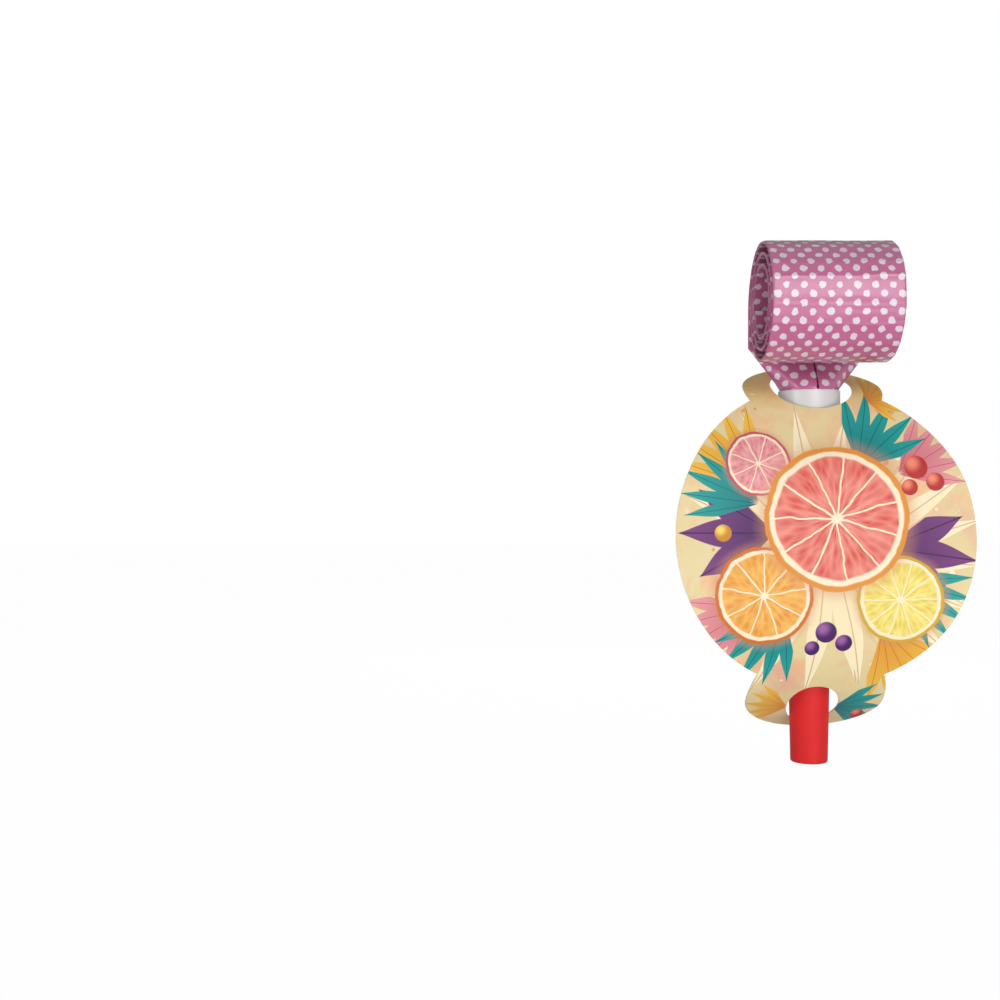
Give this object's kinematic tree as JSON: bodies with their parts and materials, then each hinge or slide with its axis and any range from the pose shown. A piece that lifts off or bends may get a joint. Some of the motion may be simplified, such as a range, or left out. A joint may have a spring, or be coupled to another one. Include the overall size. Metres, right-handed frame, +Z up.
{
  "type": "party horn blower",
  "caption": "Paper blowout on a tapered reed mouthpiece: the flat paper tube unrolls from its coil when blown, with a bowed round card threaded on the tube.",
  "frame": {"origin": "centre of the mouth end's opening, on the tube's axis", "axes": "+Z up the tube from the mouth to the roll, -Y to the front that the card's face looks to, +X to the right seen from the front"},
  "size_m": [0.0818, 0.048, 0.1457],
  "materials": {
    "mouthpiece": "satin moulded",
    "collar": "satin white",
    "reed_plastic": "moulded",
    "reed_metal": "rolled strip",
    "card": "coated, printed",
    "paper": "gloss coated, printed dots",
    "spring": "rolled strip"
  },
  "bodies": {
    "base": {"mouthpiece": "mouthpiece", "collar": "collar", "reed_holder": "reed_plastic", "reed_clamp": "reed_plastic", "medallion_card": "card", "paper_neck": "paper", "spring_root": "spring"},
    "reed": {"reed_tongue": "reed_metal"},
    "roll_01": {"paper_tube_01": "paper", "recoil_spring_01": "spring"},
    "roll_02": {"paper_tube_02": "paper", "recoil_spring_02": "spring"},
    "roll_03": {"paper_tube_03": "paper", "recoil_spring_03": "spring"},
    "roll_04": {"paper_tube_04": "paper", "recoil_spring_04": "spring"},
    "roll_05": {"paper_tube_05": "paper", "recoil_spring_05": "spring"},
    "roll_06": {"paper_tube_06": "paper", "recoil_spring_06": "spring"},
    "roll_07": {"paper_tube_07": "paper", "recoil_spring_07": "spring"},
    "roll_08": {"paper_tube_08": "paper", "recoil_spring_08": "spring"},
    "roll_09": {"paper_tube_09": "paper", "recoil_spring_09": "spring"},
    "roll_10": {"paper_tube_10": "paper", "recoil_spring_10": "spring"},
    "roll_11": {"paper_tube_11": "paper", "recoil_spring_11": "spring"},
    "roll_12": {"paper_tube_12": "paper", "recoil_spring_12": "spring"},
    "roll_13": {"paper_tube_13": "paper", "recoil_spring_13": "spring"},
    "roll_14": {"paper_tube_14": "paper", "recoil_spring_14": "spring"},
    "roll_15": {"paper_tube_15": "paper", "recoil_spring_15": "spring"},
    "roll_16": {"paper_tube_16": "paper", "recoil_spring_16": "spring"},
    "roll_17": {"paper_tube_17": "paper", "recoil_spring_17": "spring"},
    "roll_18": {"paper_tube_18": "paper", "recoil_spring_18": "spring"},
    "roll_19": {"paper_tube_19": "paper", "recoil_spring_19": "spring"},
    "roll_20": {"paper_tube_20": "paper", "recoil_spring_20": "spring"},
    "roll_21": {"paper_tube_21": "paper", "recoil_spring_21": "spring"},
    "roll_22": {"paper_tube_22": "paper", "recoil_spring_22": "spring"},
    "roll_23": {"paper_tube_23": "paper", "recoil_spring_23": "spring"},
    "roll_24": {"paper_tube_24": "paper", "recoil_spring_24": "spring"}
  },
  "joints": [
    {"name": "unroll", "type": "hinge", "parent": "base", "child": "roll_01", "pos_m": [0, 0.00045, 0.128], "axis": [-1, 0, 0], "range_deg": [0, 22.5], "stiffness_Nm_per_rad": 0.025},
    {"name": "unroll_02", "type": "hinge", "parent": "roll_01", "child": "roll_02", "pos_m": [0, -0.00478, 0.14062], "axis": [-1, 0, 0], "range_deg": [0, 45], "stiffness_Nm_per_rad": 0.025},
    {"name": "unroll_03", "type": "hinge", "parent": "roll_02", "child": "roll_03", "pos_m": [0, -0.01713, 0.14574], "axis": [-1, 0, 0], "range_deg": [0, 45], "stiffness_Nm_per_rad": 0.025},
    {"name": "unroll_04", "type": "hinge", "parent": "roll_03", "child": "roll_04", "pos_m": [0, -0.02923, 0.14073], "axis": [-1, 0, 0], "range_deg": [0, 45], "stiffness_Nm_per_rad": 0.025},
    {"name": "unroll_05", "type": "hinge", "parent": "roll_04", "child": "roll_05", "pos_m": [0, -0.03413, 0.12891], "axis": [-1, 0, 0], "range_deg": [0, 45], "stiffness_Nm_per_rad": 0.025},
    {"name": "unroll_06", "type": "hinge", "parent": "roll_05", "child": "roll_06", "pos_m": [0, -0.02934, 0.11734], "axis": [-1, 0, 0], "range_deg": [0, 45], "stiffness_Nm_per_rad": 0.025},
    {"name": "unroll_07", "type": "hinge", "parent": "roll_06", "child": "roll_07", "pos_m": [0, -0.01804, 0.11267], "axis": [-1, 0, 0], "range_deg": [0, 45], "stiffness_Nm_per_rad": 0.025},
    {"name": "unroll_08", "type": "hinge", "parent": "roll_07", "child": "roll_08", "pos_m": [0, -0.00701, 0.11723], "axis": [-1, 0, 0], "range_deg": [0, 45], "stiffness_Nm_per_rad": 0.025},
    {"name": "unroll_09", "type": "hinge", "parent": "roll_08", "child": "roll_09", "pos_m": [0, -0.00255, 0.128], "axis": [-1, 0, 0], "range_deg": [0, 45], "stiffness_Nm_per_rad": 0.025},
    {"name": "unroll_10", "type": "hinge", "parent": "roll_09", "child": "roll_10", "pos_m": [0, -0.0069, 0.1385], "axis": [-1, 0, 0], "range_deg": [0, 45], "stiffness_Nm_per_rad": 0.025},
    {"name": "unroll_11", "type": "hinge", "parent": "roll_10", "child": "roll_11", "pos_m": [0, -0.01713, 0.14274], "axis": [-1, 0, 0], "range_deg": [0, 45], "stiffness_Nm_per_rad": 0.025},
    {"name": "unroll_12", "type": "hinge", "parent": "roll_11", "child": "roll_12", "pos_m": [0, -0.02711, 0.13861], "axis": [-1, 0, 0], "range_deg": [0, 45], "stiffness_Nm_per_rad": 0.025},
    {"name": "unroll_13", "type": "hinge", "parent": "roll_12", "child": "roll_13", "pos_m": [0, -0.03112, 0.12891], "axis": [-1, 0, 0], "range_deg": [0, 45], "stiffness_Nm_per_rad": 0.025},
    {"name": "unroll_14", "type": "hinge", "parent": "roll_13", "child": "roll_14", "pos_m": [0, -0.02721, 0.11947], "axis": [-1, 0, 0], "range_deg": [0, 45], "stiffness_Nm_per_rad": 0.025},
    {"name": "unroll_15", "type": "hinge", "parent": "roll_14", "child": "roll_15", "pos_m": [0, -0.01804, 0.11567], "axis": [-1, 0, 0], "range_deg": [0, 45], "stiffness_Nm_per_rad": 0.025},
    {"name": "unroll_16", "type": "hinge", "parent": "roll_15", "child": "roll_16", "pos_m": [0, -0.00913, 0.11936], "axis": [-1, 0, 0], "range_deg": [0, 45], "stiffness_Nm_per_rad": 0.025},
    {"name": "unroll_17", "type": "hinge", "parent": "roll_16", "child": "roll_17", "pos_m": [0, -0.00555, 0.128], "axis": [-1, 0, 0], "range_deg": [0, 45], "stiffness_Nm_per_rad": 0.025},
    {"name": "unroll_18", "type": "hinge", "parent": "roll_17", "child": "roll_18", "pos_m": [0, -0.00902, 0.13638], "axis": [-1, 0, 0], "range_deg": [0, 45], "stiffness_Nm_per_rad": 0.025},
    {"name": "unroll_19", "type": "hinge", "parent": "roll_18", "child": "roll_19", "pos_m": [0, -0.01713, 0.13974], "axis": [-1, 0, 0], "range_deg": [0, 45], "stiffness_Nm_per_rad": 0.025},
    {"name": "unroll_20", "type": "hinge", "parent": "roll_19", "child": "roll_20", "pos_m": [0, -0.02498, 0.13649], "axis": [-1, 0, 0], "range_deg": [0, 45], "stiffness_Nm_per_rad": 0.025},
    {"name": "unroll_21", "type": "hinge", "parent": "roll_20", "child": "roll_21", "pos_m": [0, -0.02813, 0.12891], "axis": [-1, 0, 0], "range_deg": [0, 45], "stiffness_Nm_per_rad": 0.025},
    {"name": "unroll_22", "type": "hinge", "parent": "roll_21", "child": "roll_22", "pos_m": [0, -0.02509, 0.12159], "axis": [-1, 0, 0], "range_deg": [0, 45], "stiffness_Nm_per_rad": 0.025},
    {"name": "unroll_23", "type": "hinge", "parent": "roll_22", "child": "roll_23", "pos_m": [0, -0.01804, 0.11867], "axis": [-1, 0, 0], "range_deg": [0, 45], "stiffness_Nm_per_rad": 0.025},
    {"name": "unroll_24", "type": "hinge", "parent": "roll_23", "child": "roll_24", "pos_m": [0, -0.01125, 0.12148], "axis": [-1, 0, 0], "range_deg": [0, 45], "stiffness_Nm_per_rad": 0.025},
    {"name": "reed_buzz", "type": "hinge", "parent": "base", "child": "reed", "pos_m": [0, -0.0008, 0.0837], "axis": [-1, 0, 0], "range_deg": [-0.2, 1.5], "stiffness_Nm_per_rad": 0.002}
  ],
  "couplings": [
    {"joint": "unroll_02", "follows": "unroll", "ratio": 2},
    {"joint": "unroll_03", "follows": "unroll", "ratio": 2},
    {"joint": "unroll_04", "follows": "unroll", "ratio": 2},
    {"joint": "unroll_05", "follows": "unroll", "ratio": 2},
    {"joint": "unroll_06", "follows": "unroll", "ratio": 2},
    {"joint": "unroll_07", "follows": "unroll", "ratio": 2},
    {"joint": "unroll_08", "follows": "unroll", "ratio": 2},
    {"joint": "unroll_09", "follows": "unroll", "ratio": 2},
    {"joint": "unroll_10", "follows": "unroll", "ratio": 2},
    {"joint": "unroll_11", "follows": "unroll", "ratio": 2},
    {"joint": "unroll_12", "follows": "unroll", "ratio": 2},
    {"joint": "unroll_13", "follows": "unroll", "ratio": 2},
    {"joint": "unroll_14", "follows": "unroll", "ratio": 2},
    {"joint": "unroll_15", "follows": "unroll", "ratio": 2},
    {"joint": "unroll_16", "follows": "unroll", "ratio": 2},
    {"joint": "unroll_17", "follows": "unroll", "ratio": 2},
    {"joint": "unroll_18", "follows": "unroll", "ratio": 2},
    {"joint": "unroll_19", "follows": "unroll", "ratio": 2},
    {"joint": "unroll_20", "follows": "unroll", "ratio": 2},
    {"joint": "unroll_21", "follows": "unroll", "ratio": 2},
    {"joint": "unroll_22", "follows": "unroll", "ratio": 2},
    {"joint": "unroll_23", "follows": "unroll", "ratio": 2},
    {"joint": "unroll_24", "follows": "unroll", "ratio": 2}
  ]
}
